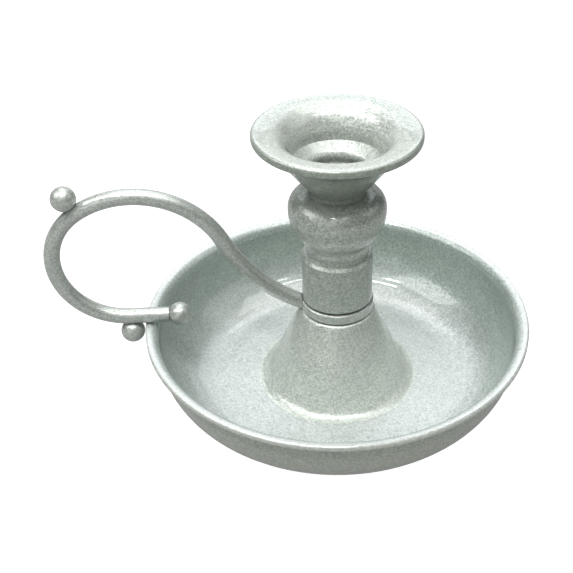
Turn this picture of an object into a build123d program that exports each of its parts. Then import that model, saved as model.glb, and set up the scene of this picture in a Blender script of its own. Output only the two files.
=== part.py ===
"""Chamberstick: a drip dish with a candle cup on a short stem and a bent rod finger loop.

All lengths are millimetres and all angles degrees. The stem stands on the Z axis, the dish
rests on the plane z = 0, and the finger loop reaches out along -X in the XZ plane.
"""
import os
from math import acos, asin, cos, degrees, radians, sin, tan

from build123d import *

# Fits between the pieces
spigot_clearance = 0.05
spigot_end_gap = 0.3
screw_clearance = 0.2
thread_clearance = 0.05
rod_rest_clearance = 0.03

# Drip dish, spun from sheet: a bowl with a short upright wall, a flared and hemmed lip and a raised middle
dish_sheet = 0.9
dish_radius = 53.0
dish_height = 22.15
dish_wall_straight = 2.15
lip_flare_radius = 2.85
lip_flat = 0.6
lip_thickness = 1.7
lip_edge = 0.45
boss_radius = 9.0
boss_height = 7.5
boss_side_lean = 30.0
boss_bend_radius = 2.0

# Pedestal cone, spun from sheet, standing on the dish floor
cone_sheet = 0.8
cone_top_radius = 10.15
cone_height = 23.9
cone_flank_lean = 23.1
cone_shoulder_bend = 0.3
cone_foot_bend = 3.6
cone_foot_margin = 0.1
cone_foot_thickness = 0.08

# Collar of the handle, a flat ring clamped between the pedestal and the sleeve
collar_radius = 9.95
collar_thickness = 3.2
collar_edge = 0.3
collar_seam_height = 0.3
seam_depth = 1.7

# Finger loop, one bent round rod from the collar out over the rim of the dish
rod_diameter = 4.2
rod_start_raise = 0.4
rod_start_slope = 25.6
rod_rise_slope = 65.0
rod_fall_slope = 35.0
rod_rise_radius = 42.8
rod_bend_outside_rim = 3.9
rod_lead_in = 2.0

# Balls on the rod: one for the thumb, one under the rod and one on its inner end
ball_diameter = 6.5
ball_seat_depth = 0.4
thumb_ball_slope = 33.0
prop_ball_rim_gap = 0.5
tip_ball_inside_rim = 9.6
ball_pin_diameter = 2.4
ball_pin_length = 3.0

# Sleeve of the stem, turned from bar
sleeve_radius = 9.6
sleeve_length = 14.8
sleeve_bevel_width = 0.65
sleeve_bevel_height = 0.75
sleeve_foot_edge = 0.2
sleeve_seam_height = 0.55
sleeve_spigot_radius = 6.0

# Knop of the stem, a turned bulb with a drilled core
knop_radius = 12.9
knop_neck_radius = 8.4
knop_neck_height = 0.7
knop_cove_radius = 8.0
knop_belly_radius = 11.0
knop_band_height = 0.8
knop_shoulder_radius = 4.6
knop_web = 4.0
knop_spigot_radius = 5.0
knop_spigot_length = 2.6

# Candle cup, turned, with a flared lip and a sunk well for the screw head
cup_neck_radius = 7.8
cup_neck_height = 1.3
cup_cone_lean = 36.6
cup_flare_start_radius = 14.0
cup_lip_radius = 21.55
cup_lip_thickness = 2.2
cup_lip_edge = 0.9
cup_seat_height = 8.44
cup_seat_slope = 35.4
throat_radius = 12.0
throat_length = 1.8
throat_flare_radius = 7.0
throat_flare_slope = 6.0
well_mouth_radius = 8.9
well_side_slope = 84.0
well_side_depth = 2.3
well_foot_slope = 45.0
well_radius = 6.2
well_edge_radius = 1.6
well_floor = 1.5
cup_spigot_radius = 7.1
cup_spigot_length = 2.8

# Tie screw that clamps the stack, with its washers and nut
screw_diameter = 4.0
screw_head_radius = 4.0
screw_head_height = 2.6
screw_head_edge = 1.0
screw_slot_width = 1.0
screw_slot_length = 4.6
screw_slot_depth = 1.3
screw_end_past_nut = 1.0
washer_radius = 4.5
washer_thickness = 0.8
spring_washer_radius = 3.6
spring_washer_thickness = 0.9
spring_washer_slit = 0.5
nut_across_flats = 7.0
nut_height = 3.2
nut_edge = 0.4

# Heights of the faces where the pieces stack up
floor_top = dish_sheet
cone_top = floor_top + cone_height
collar_top = cone_top + collar_thickness
sleeve_top = collar_top + sleeve_length
knop_swell = knop_radius - knop_neck_radius
knop_turn = acos(1 - knop_swell / (knop_cove_radius + knop_belly_radius))
knop_equator = sleeve_top + knop_neck_height + (knop_cove_radius + knop_belly_radius) * sin(knop_turn)
knop_top = knop_equator + knop_band_height + knop_shoulder_radius
cup_spigot_end = knop_top - cup_spigot_length
well_bottom = cup_spigot_end + well_floor
nut_bottom = boss_height - washer_thickness - spring_washer_thickness - nut_height
screw_end = nut_bottom - screw_end_past_nut

# Radii shared by pieces that fit one another
rod_radius = rod_diameter / 2
ball_radius = ball_diameter / 2
pin_radius = ball_pin_diameter / 2
screw_radius = screw_diameter / 2
screw_hole_radius = screw_radius + screw_clearance
sleeve_socket_radius = sleeve_spigot_radius + spigot_clearance

os.makedirs("parts", exist_ok=True)


def corner_shift(sheet, lean):
    """How far the corner of a bent sheet lies sideways of the same corner on its other face."""
    return sheet * tan(radians(90 - lean) / 2)


# Drip dish: the sheet runs from the screw hole over the boss and the floor, curves up into the
# wall and turns out to the lip, whose edge is folded under to twice the sheet and pressed round
wall_inside = dish_radius - lip_flat - lip_flare_radius
wall_outside = wall_inside + dish_sheet
wall_top = dish_height - lip_flare_radius
bowl_radius = wall_top - dish_wall_straight
flare_under_radius = lip_flare_radius - dish_sheet
flare_under_turn = degrees(asin((lip_flare_radius - lip_thickness) / flare_under_radius))
boss_foot_x = boss_radius + boss_height * tan(radians(boss_side_lean))
boss_shift = corner_shift(dish_sheet, boss_side_lean)

with BuildPart() as drip_dish:
    with BuildSketch(Plane.XZ) as dish_section:
        with BuildLine():
            underside = FilletPolyline(
                (screw_hole_radius, boss_height),
                (boss_radius, boss_height),
                (boss_foot_x, 0),
                (wall_outside, 0),
                (wall_outside, wall_top),
                radius=[boss_bend_radius, boss_bend_radius + dish_sheet, bowl_radius],
            )
            inside = FilletPolyline(
                (screw_hole_radius, boss_height + dish_sheet),
                (boss_radius + boss_shift, boss_height + dish_sheet),
                (boss_foot_x + boss_shift, dish_sheet),
                (wall_inside, dish_sheet),
                (wall_inside, wall_top),
                radius=[boss_bend_radius + dish_sheet, boss_bend_radius, bowl_radius - dish_sheet],
            )
            flare_under = JernArc(underside @ 1, underside % 1, flare_under_radius, -flare_under_turn)
            flare = JernArc(inside @ 1, inside % 1, lip_flare_radius, -90)
            Polyline(
                flare_under @ 1,
                (dish_radius, dish_height - lip_thickness),
                (dish_radius, dish_height),
                flare @ 1,
            )
            Line(underside @ 0, inside @ 0)
        make_face()
        fillet(dish_section.vertices().group_by(Axis.X)[-1], lip_edge)
    revolve(axis=Axis.Z)
drip_dish.part.label = "drip_dish"
export_step(drip_dish.part, "parts/drip_dish.step")

# Pedestal cone: in-turned top, straight flank and a foot that curves out onto the floor and
# thins to a fine edge
cone_lean = radians(cone_flank_lean)
cone_inside_top_x = cone_top_radius - corner_shift(cone_sheet, cone_flank_lean)
cone_inside_foot_x = cone_inside_top_x + (cone_height - cone_sheet) * tan(cone_lean)
cone_foot_x = cone_top_radius + (cone_height - cone_foot_thickness) * tan(cone_lean)
cone_foot_turn = radians(90 - cone_flank_lean)
cone_edge_x = cone_foot_x + cone_foot_bend * tan(cone_foot_turn / 2) + cone_foot_margin

with BuildPart() as pedestal_cone:
    with BuildSketch(Plane.XZ):
        with BuildLine():
            outside = FilletPolyline(
                (sleeve_socket_radius, cone_top),
                (cone_top_radius, cone_top),
                (cone_foot_x, floor_top + cone_foot_thickness),
                (cone_edge_x, floor_top + cone_foot_thickness),
                radius=[cone_shoulder_bend + cone_sheet, cone_foot_bend],
            )
            inside = FilletPolyline(
                (sleeve_socket_radius, cone_top - cone_sheet),
                (cone_inside_top_x, cone_top - cone_sheet),
                (cone_inside_foot_x, floor_top),
                (cone_edge_x, floor_top),
                radius=[cone_shoulder_bend, cone_foot_bend + cone_sheet],
            )
            Line(outside @ 0, inside @ 0)
            Line(outside @ 1, inside @ 1)
        make_face()
    revolve(axis=Axis.Z)
pedestal_cone.part.label = "pedestal_cone"
export_step(pedestal_cone.part, "parts/pedestal_cone.step")

# Handle collar: a flat ring on the spigot of the sleeve, cut back below to leave a seam
collar_underside = cone_top + collar_seam_height

with BuildPart() as handle_collar:
    with BuildSketch(Plane.XZ):
        with BuildLine():
            Polyline(
                (sleeve_socket_radius, cone_top),
                (collar_radius - seam_depth, cone_top),
                (collar_radius - seam_depth, collar_underside),
                (collar_radius - collar_edge, collar_underside),
                (collar_radius, collar_underside + collar_edge),
                (collar_radius, collar_top - collar_edge),
                (collar_radius - collar_edge, collar_top),
                (sleeve_socket_radius, collar_top),
                close=True,
            )
        make_face()
    revolve(axis=Axis.Z)
handle_collar.part.label = "handle_collar"
export_step(handle_collar.part, "parts/handle_collar.step")

# Handle rod: it rises from the collar, goes over the crown of the loop and round its outer
# bend, and runs level over the rim. The crown and bend radii are those that close the loop
# between the collar and the start of the level run.
start_slope = radians(rod_start_slope)
rise_slope = radians(rod_rise_slope)
fall_slope = radians(rod_fall_slope)
rod_start_z = cone_top + collar_thickness / 2 + rod_start_raise
rod_rest_z = dish_height + rod_radius + rod_rest_clearance
crown_dx = sin(rise_slope) + sin(fall_slope)
crown_dz = cos(fall_slope) - cos(rise_slope)
bend_dx = sin(fall_slope)
bend_dz = 1 + cos(fall_slope)
span_x = dish_radius + rod_bend_outside_rim - collar_radius
span_x -= rod_rise_radius * (sin(rise_slope) - sin(start_slope))
span_z = rod_rest_z - rod_start_z
span_z -= rod_rise_radius * (cos(start_slope) - cos(rise_slope))
closing = crown_dx * bend_dz - crown_dz * bend_dx
crown_radius = (span_x * bend_dz - span_z * bend_dx) / closing
bend_radius = (span_x * crown_dz - span_z * crown_dx) / closing
rod_lead_x = -collar_radius + rod_lead_in * cos(start_slope)
rod_lead_z = rod_start_z - rod_lead_in * sin(start_slope)
tip_ball_x = -(dish_radius - tip_ball_inside_rim)
rod_end_x = tip_ball_x - (ball_radius - ball_seat_depth)

with BuildPart() as handle_rod:
    with BuildLine(Plane.XZ) as rod_line:
        lead = Line((rod_lead_x, rod_lead_z), (-collar_radius, rod_start_z))
        rise = JernArc(lead @ 1, lead % 1, rod_rise_radius, rod_start_slope - rod_rise_slope)
        crown = JernArc(rise @ 1, rise % 1, crown_radius, rod_rise_slope + rod_fall_slope)
        bend = JernArc(crown @ 1, crown % 1, bend_radius, 180 - rod_fall_slope)
        Line(bend @ 1, (rod_end_x, rod_rest_z))
    with BuildSketch(Plane(lead @ 0, z_dir=lead % 0)):
        Circle(rod_radius)
    sweep()
    # The inner end is coped to the collar and ground flush with its underside
    with BuildSketch(Plane.XY):
        Circle(collar_radius)
    extrude(amount=collar_top + rod_diameter, mode=Mode.SUBTRACT)
    with BuildSketch(Plane.XY.offset(collar_underside)):
        Circle(collar_radius + rod_diameter)
    extrude(amount=-rod_diameter, mode=Mode.SUBTRACT)
    # The outer end is turned down to a pin for the tip ball
    with BuildSketch(Plane((rod_end_x, 0, rod_rest_z), z_dir=(1, 0, 0))):
        Circle(pin_radius)
    extrude(amount=ball_pin_length)
handle_rod.part.label = "handle_rod"
export_step(handle_rod.part, "parts/handle_rod.step")

# Thumb ball: welded on the outside of the loop, where the crown starts to fall
thumb_slope = radians(thumb_ball_slope)
thumb_share = (rod_rise_slope + thumb_ball_slope) / (rod_rise_slope + rod_fall_slope)
ball_stand_off = rod_radius + ball_radius - ball_seat_depth
thumb_ball_place = (crown @ thumb_share) + Vector(-sin(thumb_slope), 0, cos(thumb_slope)) * ball_stand_off

with BuildPart() as thumb_ball:
    with Locations(thumb_ball_place):
        Sphere(ball_radius)
    add(handle_rod.part, mode=Mode.SUBTRACT)
thumb_ball.part.label = "thumb_ball"
export_step(thumb_ball.part, "parts/thumb_ball.step")

# Prop ball: welded under the level run, just outside the rim
prop_ball_x = -(dish_radius + prop_ball_rim_gap + ball_radius)

with BuildPart() as prop_ball:
    with Locations((prop_ball_x, 0, rod_rest_z - ball_stand_off)):
        Sphere(ball_radius)
    add(handle_rod.part, mode=Mode.SUBTRACT)
prop_ball.part.label = "prop_ball"
export_step(prop_ball.part, "parts/prop_ball.step")

# Tip ball: drilled and pushed on the pin at the inner end of the level run
with BuildPart() as tip_ball:
    with Locations((tip_ball_x, 0, rod_rest_z)):
        Sphere(ball_radius)
    with BuildSketch(Plane((rod_end_x, 0, rod_rest_z), z_dir=(1, 0, 0))):
        Circle(pin_radius + spigot_clearance)
    extrude(amount=ball_pin_length + spigot_end_gap, mode=Mode.SUBTRACT)
    with BuildSketch(Plane((rod_end_x, 0, rod_rest_z), z_dir=(-1, 0, 0))):
        Circle(ball_radius)
    extrude(amount=ball_radius, mode=Mode.SUBTRACT)
tip_ball.part.label = "tip_ball"
export_step(tip_ball.part, "parts/tip_ball.step")

# Stem sleeve: bevelled at the top and cut back at the foot to leave a seam, with a spigot through
# the collar into the pedestal and a socket for the knop
sleeve_foot_z = collar_top + sleeve_seam_height

with BuildPart() as stem_sleeve:
    with BuildSketch(Plane.XZ):
        with BuildLine():
            Polyline(
                (screw_hole_radius, cone_top - cone_sheet),
                (sleeve_spigot_radius, cone_top - cone_sheet),
                (sleeve_spigot_radius, collar_top),
                (sleeve_radius - seam_depth, collar_top),
                (sleeve_radius - seam_depth, sleeve_foot_z),
                (sleeve_radius - sleeve_foot_edge, sleeve_foot_z),
                (sleeve_radius, sleeve_foot_z + sleeve_foot_edge),
                (sleeve_radius, sleeve_top - sleeve_bevel_height),
                (sleeve_radius - sleeve_bevel_width, sleeve_top),
                (knop_spigot_radius + spigot_clearance, sleeve_top),
                (knop_spigot_radius + spigot_clearance, sleeve_top - knop_spigot_length - spigot_end_gap),
                (screw_hole_radius, sleeve_top - knop_spigot_length - spigot_end_gap),
                close=True,
            )
        make_face()
    revolve(axis=Axis.Z)
stem_sleeve.part.label = "stem_sleeve"
export_step(stem_sleeve.part, "parts/stem_sleeve.step")

# Knop: a cove above its neck swells into the belly and closes in a round shoulder
knop_bore_radius = cup_spigot_radius + spigot_clearance

with BuildPart() as knop:
    with BuildSketch(Plane.XZ):
        with BuildLine():
            neck = Line((knop_neck_radius, sleeve_top), (knop_neck_radius, sleeve_top + knop_neck_height))
            cove = JernArc(neck @ 1, neck % 1, knop_cove_radius, -degrees(knop_turn))
            belly = JernArc(cove @ 1, cove % 1, knop_belly_radius, degrees(knop_turn))
            band = Line(belly @ 1, (knop_radius, knop_equator + knop_band_height))
            shoulder = JernArc(band @ 1, band % 1, knop_shoulder_radius, 90)
            Polyline(
                shoulder @ 1,
                (knop_bore_radius, knop_top),
                (knop_bore_radius, sleeve_top + knop_web),
                (screw_hole_radius, sleeve_top + knop_web),
                (screw_hole_radius, sleeve_top - knop_spigot_length),
                (knop_spigot_radius, sleeve_top - knop_spigot_length),
                (knop_spigot_radius, sleeve_top),
                neck @ 0,
            )
        make_face()
    revolve(axis=Axis.Z)
knop.part.label = "knop"
export_step(knop.part, "parts/knop.step")

# Candle cup: a funnel outside; inside a trumpet mouth, a straight throat for the candle, a
# sloping seat and the narrowing well with the screw head
cup_cone = radians(cup_cone_lean)
cup_cone_foot_z = knop_top + cup_neck_height
cup_flare_z = cup_cone_foot_z + (cup_flare_start_radius - cup_neck_radius) / tan(cup_cone)
seat_z = knop_top + cup_seat_height
well_mouth_z = seat_z - (throat_radius - well_mouth_radius) * tan(radians(cup_seat_slope))
well_waist_z = well_mouth_z - well_side_depth
well_waist_radius = well_mouth_radius - well_side_depth / tan(radians(well_side_slope))
well_straight_z = well_waist_z - (well_waist_radius - well_radius) * tan(radians(well_foot_slope))

with BuildPart() as candle_cup:
    with BuildSketch(Plane.XZ) as cup_section:
        with BuildLine():
            throat = Line((throat_radius, seat_z), (throat_radius, seat_z + throat_length))
            mouth = JernArc(throat @ 1, throat % 1, throat_flare_radius, throat_flare_slope - 90)
            mouth_rise = (cup_lip_radius - (mouth @ 1).X) * tan(radians(throat_flare_slope))
            lip_z = (mouth @ 1).Y + mouth_rise
            rim = Polyline(mouth @ 1, (cup_lip_radius, lip_z), (cup_lip_radius, lip_z - cup_lip_thickness))
            funnel = Line((cup_neck_radius, cup_cone_foot_z), (cup_flare_start_radius, cup_flare_z))
            TangentArc(funnel @ 1, rim @ 1, tangent=funnel % 1)
            Polyline(
                funnel @ 0,
                (cup_neck_radius, knop_top),
                (cup_spigot_radius, knop_top),
                (cup_spigot_radius, cup_spigot_end),
                (screw_hole_radius, cup_spigot_end),
                (screw_hole_radius, well_bottom),
                (well_radius, well_bottom),
            )
            FilletPolyline(
                (well_radius, well_bottom),
                (well_radius, well_straight_z),
                (well_waist_radius, well_waist_z),
                (well_mouth_radius, well_mouth_z),
                throat @ 0,
                radius=well_edge_radius,
            )
        make_face()
        fillet(cup_section.vertices().group_by(Axis.X)[-1], cup_lip_edge)
    revolve(axis=Axis.Z)
candle_cup.part.label = "candle_cup"
export_step(candle_cup.part, "parts/candle_cup.step")

# Cup washer: under the screw head on the floor of the well
with BuildPart() as cup_washer:
    with BuildSketch(Plane.XY.offset(well_bottom)):
        Circle(washer_radius)
        Circle(screw_hole_radius, mode=Mode.SUBTRACT)
    extrude(amount=washer_thickness)
cup_washer.part.label = "cup_washer"
export_step(cup_washer.part, "parts/cup_washer.step")

# Tie screw: a cross-slotted round head in the well and a shank down through the whole stem
head_bottom = well_bottom + washer_thickness
head_top = head_bottom + screw_head_height

with BuildPart() as tie_screw:
    with BuildSketch(Plane.XY.offset(head_bottom)):
        Circle(screw_head_radius)
    extrude(amount=screw_head_height)
    fillet(tie_screw.edges().sort_by(Axis.Z)[-1], screw_head_edge)
    with BuildSketch(Plane.XY.offset(screw_end)):
        Circle(screw_radius)
    extrude(amount=head_bottom - screw_end)
    with BuildSketch(Plane.XY.offset(head_top)):
        Rectangle(screw_slot_length, screw_slot_width)
        Rectangle(screw_slot_width, screw_slot_length)
    extrude(amount=-screw_slot_depth, mode=Mode.SUBTRACT)
tie_screw.part.label = "tie_screw"
export_step(tie_screw.part, "parts/tie_screw.step")

# Base washer: against the underside of the raised middle of the dish
with BuildPart() as base_washer:
    with BuildSketch(Plane.XY.offset(boss_height)):
        Circle(washer_radius)
        Circle(screw_hole_radius, mode=Mode.SUBTRACT)
    extrude(amount=-washer_thickness)
base_washer.part.label = "base_washer"
export_step(base_washer.part, "parts/base_washer.step")

# Base spring washer: a split ring pressed flat between the washer and the nut
spring_washer_top = boss_height - washer_thickness

with BuildPart() as base_spring_washer:
    with BuildSketch(Plane.XY.offset(spring_washer_top)):
        Circle(spring_washer_radius)
        Circle(screw_hole_radius, mode=Mode.SUBTRACT)
        with Locations((spring_washer_radius, 0)):
            Rectangle(spring_washer_radius * 2, spring_washer_slit, mode=Mode.SUBTRACT)
    extrude(amount=-spring_washer_thickness)
base_spring_washer.part.label = "base_spring_washer"
export_step(base_spring_washer.part, "parts/base_spring_washer.step")

# Base nut: a hexagon nut inside the raised middle, clear of the table
nut_corner_radius = nut_across_flats / 2 / cos(radians(30))

with BuildPart() as base_nut:
    with BuildSketch(Plane.XY.offset(nut_bottom)):
        RegularPolygon(nut_corner_radius, 6)
        Circle(screw_radius + thread_clearance, mode=Mode.SUBTRACT)
    extrude(amount=nut_height)
    with BuildSketch(Plane.XY.offset(nut_bottom)):
        Circle(nut_corner_radius)
    with BuildSketch(Plane.XY.offset(nut_bottom + nut_height)):
        Circle(nut_corner_radius - nut_edge)
    loft(mode=Mode.INTERSECT)
base_nut.part.label = "base_nut"
export_step(base_nut.part, "parts/base_nut.step")
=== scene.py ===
"""Looks of the chamberstick: flake paint on the spun and turned pieces, plated fasteners, studio."""
import math

import bpy
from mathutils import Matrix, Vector

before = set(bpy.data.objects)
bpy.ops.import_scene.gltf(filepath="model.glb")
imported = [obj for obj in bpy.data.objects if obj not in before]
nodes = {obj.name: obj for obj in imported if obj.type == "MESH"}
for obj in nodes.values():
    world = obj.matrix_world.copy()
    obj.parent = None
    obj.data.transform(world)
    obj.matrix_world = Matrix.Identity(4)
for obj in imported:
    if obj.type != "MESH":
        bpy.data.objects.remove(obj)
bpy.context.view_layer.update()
bpy.ops.object.select_all(action="DESELECT")

# Drip dish: spun from thin steel sheet, its lip flared out to a rounded edge.
# It is sprayed with a pale sage-silver flake paint under a glossy clear coat, as all the pieces
# that show are, so the paint is made here. Its lip carries a painted highlight, its walls painted
# shade, the inner walls tinted greener.


def new_group(name, inputs, outputs):
    """A shader node group with named sockets, and its two end nodes."""
    tree = bpy.data.node_groups.new(name, "ShaderNodeTree")
    for label, kind, value in inputs:
        socket = tree.interface.new_socket(label, in_out="INPUT", socket_type=kind)
        if value is not None:
            socket.default_value = value
    for label, kind in outputs:
        tree.interface.new_socket(label, in_out="OUTPUT", socket_type=kind)
    return tree, tree.nodes.new("NodeGroupInput"), tree.nodes.new("NodeGroupOutput")


def make_flake_paint():
    """Flakes lying at slightly different angles in the paint, coarse and fine, with a soft mottle."""
    coarse_scale = 2600
    fine_scale = 5200
    fine_share = 0.4
    mottle_scale = 55
    mottle_detail = 3
    mid_value = 0.5
    smooth_flake = 0.3
    rough_flake = 0.44
    tree, ends_in, ends_out = new_group(
        "flake_paint",
        [
            ("Place", "NodeSocketVector", None),
            ("Paint", "NodeSocketColor", (0.5, 0.5, 0.5, 1)),
            ("Flake", "NodeSocketColor", (0.8, 0.8, 0.8, 1)),
            ("Flake Share", "NodeSocketFloat", 0.35),
            ("Flake Tilt", "NodeSocketFloat", 0.2),
            ("Mottle", "NodeSocketFloat", 0.06),
        ],
        [
            ("Color", "NodeSocketColor"),
            ("Roughness", "NodeSocketFloat"),
            ("Normal", "NodeSocketVector"),
        ],
    )
    add = tree.nodes.new
    link = tree.links.new

    coarse = add("ShaderNodeTexVoronoi")
    coarse.inputs["Scale"].default_value = coarse_scale
    fine = add("ShaderNodeTexVoronoi")
    fine.inputs["Scale"].default_value = fine_scale
    mottle = add("ShaderNodeTexNoise")
    mottle.inputs["Scale"].default_value = mottle_scale
    mottle.inputs["Detail"].default_value = mottle_detail
    for texture in (coarse, fine, mottle):
        link(ends_in.outputs["Place"], texture.inputs["Vector"])

    both = add("ShaderNodeMix")
    both.data_type = "RGBA"
    both.inputs["Factor"].default_value = fine_share
    link(coarse.outputs["Color"], both.inputs["A"])
    link(fine.outputs["Color"], both.inputs["B"])

    glint = add("ShaderNodeSeparateColor")
    link(both.outputs["Result"], glint.inputs["Color"])
    share = add("ShaderNodeMath")
    share.operation = "MULTIPLY"
    link(glint.outputs["Red"], share.inputs[0])
    link(ends_in.outputs["Flake Share"], share.inputs[1])
    sprinkled = add("ShaderNodeMix")
    sprinkled.data_type = "RGBA"
    link(share.outputs["Value"], sprinkled.inputs["Factor"])
    link(ends_in.outputs["Paint"], sprinkled.inputs["A"])
    link(ends_in.outputs["Flake"], sprinkled.inputs["B"])

    cloud = add("ShaderNodeMath")
    cloud.operation = "SUBTRACT"
    cloud.inputs[1].default_value = mid_value
    link(mottle.outputs["Fac"], cloud.inputs[0])
    swing = add("ShaderNodeMath")
    swing.operation = "MULTIPLY_ADD"
    swing.inputs[2].default_value = 1
    link(cloud.outputs["Value"], swing.inputs[0])
    link(ends_in.outputs["Mottle"], swing.inputs[1])
    shaded = add("ShaderNodeVectorMath")
    shaded.operation = "SCALE"
    link(sprinkled.outputs["Result"], shaded.inputs[0])
    link(swing.outputs["Value"], shaded.inputs["Scale"])
    link(shaded.outputs["Vector"], ends_out.inputs["Color"])

    rough = add("ShaderNodeMapRange")
    rough.inputs["To Min"].default_value = smooth_flake
    rough.inputs["To Max"].default_value = rough_flake
    link(glint.outputs["Green"], rough.inputs["Value"])
    link(rough.outputs["Result"], ends_out.inputs["Roughness"])

    lean = add("ShaderNodeVectorMath")
    lean.operation = "SUBTRACT"
    lean.inputs[1].default_value = (mid_value, mid_value, mid_value)
    link(both.outputs["Result"], lean.inputs[0])
    tilt = add("ShaderNodeVectorMath")
    tilt.operation = "SCALE"
    link(lean.outputs["Vector"], tilt.inputs[0])
    link(ends_in.outputs["Flake Tilt"], tilt.inputs["Scale"])
    surface = add("ShaderNodeNewGeometry")
    tipped = add("ShaderNodeVectorMath")
    link(surface.outputs["Normal"], tipped.inputs[0])
    link(tilt.outputs["Vector"], tipped.inputs[1])
    unit = add("ShaderNodeVectorMath")
    unit.operation = "NORMALIZE"
    link(tipped.outputs["Vector"], unit.inputs[0])
    link(unit.outputs["Vector"], ends_out.inputs["Normal"])
    return tree


def make_paint_zones():
    """Masks on a round piece: its outside, its inside, the top of its lip and the lip's outer edge."""
    turn_out = {"Outside": (0.1, 0.5), "Inside": (-0.4, -0.95)}
    lip_depth = 0.0005
    lip_full_depth = 0.0001
    band_inset = 0.0022
    band_full_inset = 0.0012
    edge_full_depth = 0.0004
    tree, ends_in, ends_out = new_group(
        "paint_zones",
        [
            ("Place", "NodeSocketVector", None),
            ("Facing", "NodeSocketVector", None),
            ("Lip Top", "NodeSocketFloat", 0.02),
            ("Lip Radius", "NodeSocketFloat", 0.05),
            ("Edge Depth", "NodeSocketFloat", 0.001),
        ],
        [
            ("Outside", "NodeSocketFloat"),
            ("Inside", "NodeSocketFloat"),
            ("Lip", "NodeSocketFloat"),
            ("Lip Edge", "NodeSocketFloat"),
        ],
    )
    add = tree.nodes.new
    link = tree.links.new

    from_axis = add("ShaderNodeVectorMath")
    from_axis.operation = "MULTIPLY"
    from_axis.inputs[1].default_value = (1, 1, 0)
    link(ends_in.outputs["Place"], from_axis.inputs[0])
    outward = add("ShaderNodeVectorMath")
    outward.operation = "NORMALIZE"
    link(from_axis.outputs["Vector"], outward.inputs[0])
    turned_out = add("ShaderNodeVectorMath")
    turned_out.operation = "DOT_PRODUCT"
    link(outward.outputs["Vector"], turned_out.inputs[0])
    link(ends_in.outputs["Facing"], turned_out.inputs[1])
    for label, (first, full) in turn_out.items():
        side = add("ShaderNodeMapRange")
        side.inputs["From Min"].default_value = first
        side.inputs["From Max"].default_value = full
        link(turned_out.outputs["Value"], side.inputs["Value"])
        link(side.outputs["Result"], ends_out.inputs[label])

    height = add("ShaderNodeSeparateXYZ")
    link(ends_in.outputs["Place"], height.inputs["Vector"])
    below = add("ShaderNodeMath")
    below.operation = "SUBTRACT"
    link(ends_in.outputs["Lip Top"], below.inputs[0])
    link(height.outputs["Z"], below.inputs[1])
    lip = add("ShaderNodeMapRange")
    lip.inputs["From Min"].default_value = lip_depth
    lip.inputs["From Max"].default_value = lip_full_depth
    link(below.outputs["Value"], lip.inputs["Value"])
    link(lip.outputs["Result"], ends_out.inputs["Lip"])

    radius = add("ShaderNodeVectorMath")
    radius.operation = "LENGTH"
    link(from_axis.outputs["Vector"], radius.inputs[0])
    inset = add("ShaderNodeMath")
    inset.operation = "SUBTRACT"
    link(ends_in.outputs["Lip Radius"], inset.inputs[0])
    link(radius.outputs["Value"], inset.inputs[1])
    outer_band = add("ShaderNodeMapRange")
    outer_band.inputs["From Min"].default_value = band_inset
    outer_band.inputs["From Max"].default_value = band_full_inset
    link(inset.outputs["Value"], outer_band.inputs["Value"])
    lip_edge = add("ShaderNodeMapRange")
    link(ends_in.outputs["Edge Depth"], lip_edge.inputs["From Min"])
    lip_edge.inputs["From Max"].default_value = edge_full_depth
    link(below.outputs["Value"], lip_edge.inputs["Value"])
    link(outer_band.outputs["Result"], lip_edge.inputs["To Max"])
    link(lip_edge.outputs["Result"], ends_out.inputs["Lip Edge"])
    return tree


def new_material(name):
    """A node material with its shader and the piece's own coordinates."""
    material = bpy.data.materials.new(name)
    material.use_nodes = True
    tree = material.node_tree
    return material, tree, tree.nodes["Principled BSDF"], tree.nodes.new("ShaderNodeTexCoord")


def paint_material(name, paint, flake, share, tilt, mottle, metallic):
    """Flake paint with a clear coat, with its own colours and amount of flake."""
    material, tree, shader, place = new_material(name)
    flakes = tree.nodes.new("ShaderNodeGroup")
    flakes.node_tree = flake_paint
    flakes.inputs["Paint"].default_value = (*paint, 1)
    flakes.inputs["Flake"].default_value = (*flake, 1)
    flakes.inputs["Flake Share"].default_value = share
    flakes.inputs["Flake Tilt"].default_value = tilt
    flakes.inputs["Mottle"].default_value = mottle
    tree.links.new(place.outputs["Object"], flakes.inputs["Place"])
    tree.links.new(flakes.outputs["Color"], shader.inputs["Base Color"])
    tree.links.new(flakes.outputs["Roughness"], shader.inputs["Roughness"])
    tree.links.new(flakes.outputs["Normal"], shader.inputs["Normal"])
    shader.inputs["Metallic"].default_value = metallic
    shader.inputs["Coat Weight"].default_value = 1
    shader.inputs["Coat Roughness"].default_value = 0.05
    return material, tree, shader, place, flakes


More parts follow.
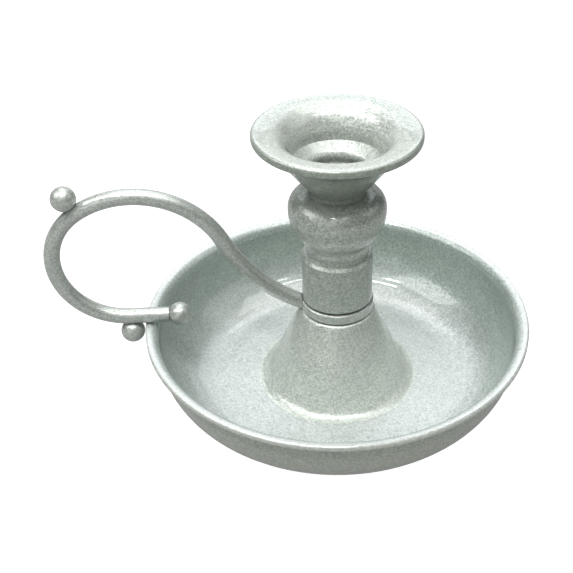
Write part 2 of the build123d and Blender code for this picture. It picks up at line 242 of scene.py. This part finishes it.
def paint_lip_highlight_and_wall_shade(paint_parts, lip_top, lip_radius, edge_depth, lip_highlights, wall_shade_tones):
    """Painted highlight on a round piece's lip and painted shade on its walls; gives its masks and
    colour.
    """
    # Lighter paint on the top and outer edge of the lip: a painted highlight.
    lip_highlight_paint = (0.95, 0.97, 0.96)
    _, tree, shader, place, flakes = paint_parts
    zones = tree.nodes.new("ShaderNodeGroup")
    zones.node_tree = paint_zones
    zones.inputs["Lip Top"].default_value = lip_top
    zones.inputs["Lip Radius"].default_value = lip_radius
    zones.inputs["Edge Depth"].default_value = edge_depth
    tree.links.new(place.outputs["Object"], zones.inputs["Place"])
    tree.links.new(place.outputs["Normal"], zones.inputs["Facing"])

    colour = flakes.outputs["Color"]
    # The outside and inside walls are multiplied darker: painted shade, the dish's inner walls tinted
    # greener.
    for side, tone in wall_shade_tones.items():
        wall_shaded = tree.nodes.new("ShaderNodeMix")
        wall_shaded.data_type = "RGBA"
        wall_shaded.blend_type = "MULTIPLY"
        wall_shaded.inputs["B"].default_value = (*tone, 1)
        tree.links.new(zones.outputs[side], wall_shaded.inputs["Factor"])
        tree.links.new(colour, wall_shaded.inputs["A"])
        colour = wall_shaded.outputs["Result"]

    lip_highlight_mask = tree.nodes.new("ShaderNodeMath")
    lip_highlight_mask.operation = "MAXIMUM"
    lip_highlight_mask.inputs[1].default_value = 0
    for rub_input, (zone, share) in zip(lip_highlight_mask.inputs, lip_highlights.items()):
        highlight_share = tree.nodes.new("ShaderNodeMapRange")
        highlight_share.inputs["To Max"].default_value = share
        tree.links.new(zones.outputs[zone], highlight_share.inputs["Value"])
        tree.links.new(highlight_share.outputs["Result"], rub_input)
    lip_highlighted = tree.nodes.new("ShaderNodeMix")
    lip_highlighted.data_type = "RGBA"
    lip_highlighted.inputs["B"].default_value = (*lip_highlight_paint, 1)
    tree.links.new(lip_highlight_mask.outputs["Value"], lip_highlighted.inputs["Factor"])
    tree.links.new(colour, lip_highlighted.inputs["A"])
    tree.links.new(lip_highlighted.outputs["Result"], shader.inputs["Base Color"])
    return zones, lip_highlighted


flake_paint = make_flake_paint()
paint_zones = make_paint_zones()
dish_parts = paint_material(
    "dish_paint",
    paint=(0.36, 0.393, 0.378),
    flake=(0.905, 0.94, 0.925),
    share=0.6,
    tilt=0.3,
    mottle=0.05,
    metallic=0.2,
)
paint_lip_highlight_and_wall_shade(
    dish_parts,
    lip_top=0.02215,
    lip_radius=0.053,
    edge_depth=0.0016,
    lip_highlights={"Lip": 0.1, "Lip Edge": 0.26},
    wall_shade_tones={"Outside": (0.80, 0.81, 0.74), "Inside": (0.79, 0.85, 0.81)},
)
nodes["drip_dish"].data.materials[0] = dish_parts[0]

# Pedestal cone: spun from steel sheet, its foot curved out onto the dish floor, and held there by
# the screw through the stem. Its paint is lighter than the other pieces': painted light on its
# upward-facing flank.
cone_lit_paint, *_ = paint_material(
    "cone_lit_paint",
    paint=(0.38, 0.413, 0.378),
    flake=(0.92, 0.96, 0.91),
    share=0.66,
    tilt=0.36,
    mottle=0.05,
    metallic=0.25,
)
nodes["pedestal_cone"].data.materials[0] = cone_lit_paint

# Handle: a flat steel ring clamped between the cone and the stem, a bent steel rod coped and
# welded to it, and three balls on the rod. It is sprayed as one piece.
handle_paint, *_ = paint_material(
    "handle_paint",
    paint=(0.36, 0.385, 0.36),
    flake=(0.93, 0.96, 0.92),
    share=0.5,
    tilt=0.16,
    mottle=0.05,
    metallic=0.45,
)
for name in ("handle_collar", "handle_rod", "thumb_ball", "prop_ball", "tip_ball"):
    nodes[name].data.materials[0] = handle_paint

# Stem: a turned sleeve and a turned knop, stacked on one screw under the cup and sprayed before
# they are put together. The turned pieces take the flake more coarsely, and their paint is darker
# than the others': painted shade on these upright pieces.
stem_paint, *_ = paint_material(
    "stem_paint",
    paint=(0.27, 0.302, 0.27),
    flake=(0.90, 0.95, 0.89),
    share=0.56,
    tilt=0.36,
    mottle=0.06,
    metallic=0.25,
)
for name in ("stem_sleeve", "knop"):
    nodes[name].data.materials[0] = stem_paint

# Candle cup: turned from bar and sprayed as the stem is, a little painted highlight on its lip and
# painted shade on its outside. Its well is painted darker with depth, near black at the bottom,
# with its clear coat taken off there: painted shade in the deep hole.
well_top = 0.0668
well_dark = 0.0645
well_shade_colour = (0.012, 0.014, 0.012)
cup_parts = paint_material(
    "cup_paint",
    paint=(0.34, 0.37, 0.34),
    flake=(0.91, 0.945, 0.905),
    share=0.62,
    tilt=0.32,
    mottle=0.05,
    metallic=0.25,
)
cup_zones, cup_colour = paint_lip_highlight_and_wall_shade(
    cup_parts,
    lip_top=0.07862,
    lip_radius=0.02155,
    edge_depth=0.0007,
    lip_highlights={"Lip Edge": 0.12},
    wall_shade_tones={"Outside": (0.61, 0.64, 0.60)},
)
cup_paint, cup_tree, cup_shader, cup_place, _ = cup_parts
cup_height = cup_tree.nodes.new("ShaderNodeSeparateXYZ")
cup_tree.links.new(cup_place.outputs["Object"], cup_height.inputs["Vector"])
well_depth = cup_tree.nodes.new("ShaderNodeMapRange")
well_depth.inputs["From Min"].default_value = well_top
well_depth.inputs["From Max"].default_value = well_dark
cup_tree.links.new(cup_height.outputs["Z"], well_depth.inputs["Value"])
# Mask of the painted shade in the well: the deeper, the darker.
well_shade_mask = cup_tree.nodes.new("ShaderNodeMath")
well_shade_mask.operation = "MULTIPLY"
cup_tree.links.new(well_depth.outputs["Result"], well_shade_mask.inputs[0])
cup_tree.links.new(cup_zones.outputs["Inside"], well_shade_mask.inputs[1])
well_shaded_colour = cup_tree.nodes.new("ShaderNodeMix")
well_shaded_colour.data_type = "RGBA"
well_shaded_colour.inputs["B"].default_value = (*well_shade_colour, 1)
cup_tree.links.new(well_shade_mask.outputs["Value"], well_shaded_colour.inputs["Factor"])
cup_tree.links.new(cup_colour.outputs["Result"], well_shaded_colour.inputs["A"])
cup_tree.links.new(well_shaded_colour.outputs["Result"], cup_shader.inputs["Base Color"])
cup_coat = cup_tree.nodes.new("ShaderNodeMath")
cup_coat.operation = "SUBTRACT"
cup_coat.inputs[0].default_value = 1
cup_tree.links.new(well_shade_mask.outputs["Value"], cup_coat.inputs[1])
cup_tree.links.new(cup_coat.outputs["Value"], cup_shader.inputs["Coat Weight"])
nodes["candle_cup"].data.materials[0] = cup_paint

# Fasteners: one long screw from the well of the cup to a nut under the dish, with its washers.
# They are steel with a bright plated skin that shows the turning marks round the axis.
plate_dark = (0.52, 0.53, 0.53)
plate_bright = (0.66, 0.67, 0.66)
plate, plate_tree, plate_shader, plate_place = new_material("plated_steel")
rings = plate_tree.nodes.new("ShaderNodeTexWave")
rings.wave_type = "RINGS"
rings.rings_direction = "Z"
rings.inputs["Scale"].default_value = 900
rings.inputs["Distortion"].default_value = 1.5
rings.inputs["Detail"].default_value = 3
plate_tree.links.new(plate_place.outputs["Object"], rings.inputs["Vector"])
ring_tone = plate_tree.nodes.new("ShaderNodeMix")
ring_tone.data_type = "RGBA"
ring_tone.inputs["A"].default_value = (*plate_dark, 1)
ring_tone.inputs["B"].default_value = (*plate_bright, 1)
plate_tree.links.new(rings.outputs["Fac"], ring_tone.inputs["Factor"])
plate_tree.links.new(ring_tone.outputs["Result"], plate_shader.inputs["Base Color"])
ring_rough = plate_tree.nodes.new("ShaderNodeMapRange")
ring_rough.inputs["To Min"].default_value = 0.24
ring_rough.inputs["To Max"].default_value = 0.38
plate_tree.links.new(rings.outputs["Fac"], ring_rough.inputs["Value"])
plate_tree.links.new(ring_rough.outputs["Result"], plate_shader.inputs["Roughness"])
plate_shader.inputs["Metallic"].default_value = 1
for name in ("cup_washer", "tie_screw", "base_washer", "base_spring_washer", "base_nut"):
    nodes[name].data.materials[0] = plate

# Studio floor: a plain white sheet under the holder, lit from below so that it stays white in the
# picture, while it throws less light up and is dimmer still in the reflections on the holder.
floor_size = 6
floor_tone = (0.2, 0.2, 0.2)
floor_seen = 0.95
floor_thrown = 0.55
floor_mirrored = 0.25
bpy.ops.mesh.primitive_plane_add(size=floor_size)
floor = bpy.context.object
floor.name = "floor"
floor_paper, floor_tree, floor_shader, _ = new_material("floor_paper")
floor_shader.inputs["Base Color"].default_value = (*floor_tone, 1)
floor_shader.inputs["Roughness"].default_value = 0.9
floor_shader.inputs["Specular IOR Level"].default_value = 0
floor_shader.inputs["Emission Color"].default_value = (1, 1, 1, 1)
floor_path = floor_tree.nodes.new("ShaderNodeLightPath")
floor_cast = floor_tree.nodes.new("ShaderNodeMapRange")
floor_cast.inputs["To Min"].default_value = floor_thrown
floor_cast.inputs["To Max"].default_value = floor_mirrored
floor_tree.links.new(floor_path.outputs["Is Glossy Ray"], floor_cast.inputs["Value"])
floor_glow = floor_tree.nodes.new("ShaderNodeMapRange")
floor_tree.links.new(floor_cast.outputs["Result"], floor_glow.inputs["To Min"])
floor_glow.inputs["To Max"].default_value = floor_seen
floor_tree.links.new(floor_path.outputs["Is Camera Ray"], floor_glow.inputs["Value"])
floor_tree.links.new(floor_glow.outputs["Result"], floor_shader.inputs["Emission Strength"])
floor.data.materials.append(floor_paper)

# Studio light: softboxes hung a metre round the holder, narrow strips overhead at the front left
# and right, broad soft ones above, at both sides, behind and in front. The front fill lights the
# holder without showing in its gloss.
light_reach = 1.0
light_aim = Vector((0, 0, 0.03))


def softbox(name, turn, rise, width, height, glow, tint=(1, 1, 1)):
    """An area light aimed at the holder: turn from behind it to the right, rise from the table."""
    light = bpy.data.lights.new(name, "AREA")
    light.shape = "RECTANGLE"
    light.size = width
    light.size_y = height
    light.energy = glow * math.pi * width * height
    light.color = tint
    box = bpy.data.objects.new(name, light)
    across = math.cos(math.radians(rise))
    box.location = Vector((
        across * math.sin(math.radians(turn)),
        across * math.cos(math.radians(turn)),
        math.sin(math.radians(rise)),
    )) * light_reach
    box.rotation_euler = (light_aim - box.location).to_track_quat("-Z", "Y").to_euler()
    bpy.context.scene.collection.objects.link(box)
    return box


softbox("front_left_high", turn=-140, rise=74, width=0.55, height=0.06, glow=27)
softbox("front_left_low", turn=-140, rise=62, width=0.55, height=0.06, glow=27)
softbox("front_right_high", turn=140, rise=70, width=0.5, height=0.06, glow=11.7)
softbox("front_right_low", turn=140, rise=60, width=0.5, height=0.06, glow=11.7)
softbox("top_back_left", turn=-30, rise=70, width=0.5, height=0.5, glow=1.8)
softbox("top_right", turn=60, rise=72, width=0.5, height=0.5, glow=2.3)
softbox("left", turn=-95, rise=45, width=0.6, height=0.5, glow=3.1)
softbox("right", turn=90, rise=35, width=0.6, height=0.5, glow=0.85)
softbox("back_high", turn=0, rise=58, width=0.5, height=0.3, glow=1.9)
softbox("back", turn=0, rise=42, width=1.0, height=0.4, glow=1.3, tint=(0.9, 0.97, 1))
softbox("back_low", turn=0, rise=15, width=1.6, height=0.45, glow=0.75)
softbox("front", turn=180, rise=42, width=0.6, height=0.4, glow=0.7)
front_fill = softbox("front_fill", turn=180, rise=45, width=0.6, height=0.5, glow=2.1)
front_fill.visible_glossy = False
softbox("front_low", turn=-150, rise=20, width=0.6, height=0.35, glow=1.4)

# Backdrop: a white wall all round, seen beyond the floor in the picture. The room itself is kept
# dark, so that it throws next to no light on the holder.
backdrop_seen = 1
backdrop_thrown = 0.02
room = bpy.data.worlds.new("room")
bpy.context.scene.world = room
room.use_nodes = True
room_tree = room.node_tree
room_light = room_tree.nodes["Background"]
room_light.inputs["Color"].default_value = (1, 1, 1, 1)
room_path = room_tree.nodes.new("ShaderNodeLightPath")
room_glow = room_tree.nodes.new("ShaderNodeMapRange")
room_glow.inputs["To Min"].default_value = backdrop_thrown
room_glow.inputs["To Max"].default_value = backdrop_seen
room_tree.links.new(room_path.outputs["Is Camera Ray"], room_glow.inputs["Value"])
room_tree.links.new(room_glow.outputs["Result"], room_light.inputs["Strength"])

# Camera: above the table in front, turned a little to the loop's side, its frame set to the left
# of the stem as in the photograph.
camera_turn = math.radians(-4.5)
camera_dip = math.radians(35.64)
camera_reach = 0.22064
camera_height = 0.18916
camera_data = bpy.data.cameras.new("camera")
camera_data.sensor_width = 36
camera_data.lens = 62.2
camera_data.shift_x = -0.0887
camera_data.clip_start = 0.01
camera = bpy.data.objects.new("camera", camera_data)
camera.location = (
    camera_reach * math.sin(camera_turn),
    -camera_reach * math.cos(camera_turn),
    camera_height,
)
camera.rotation_euler = (math.radians(90) - camera_dip, 0, camera_turn)
bpy.context.scene.collection.objects.link(camera)
bpy.context.scene.camera = camera
bpy.context.scene.view_settings.view_transform = "Standard"
bpy.context.scene.view_settings.gamma = 0.8
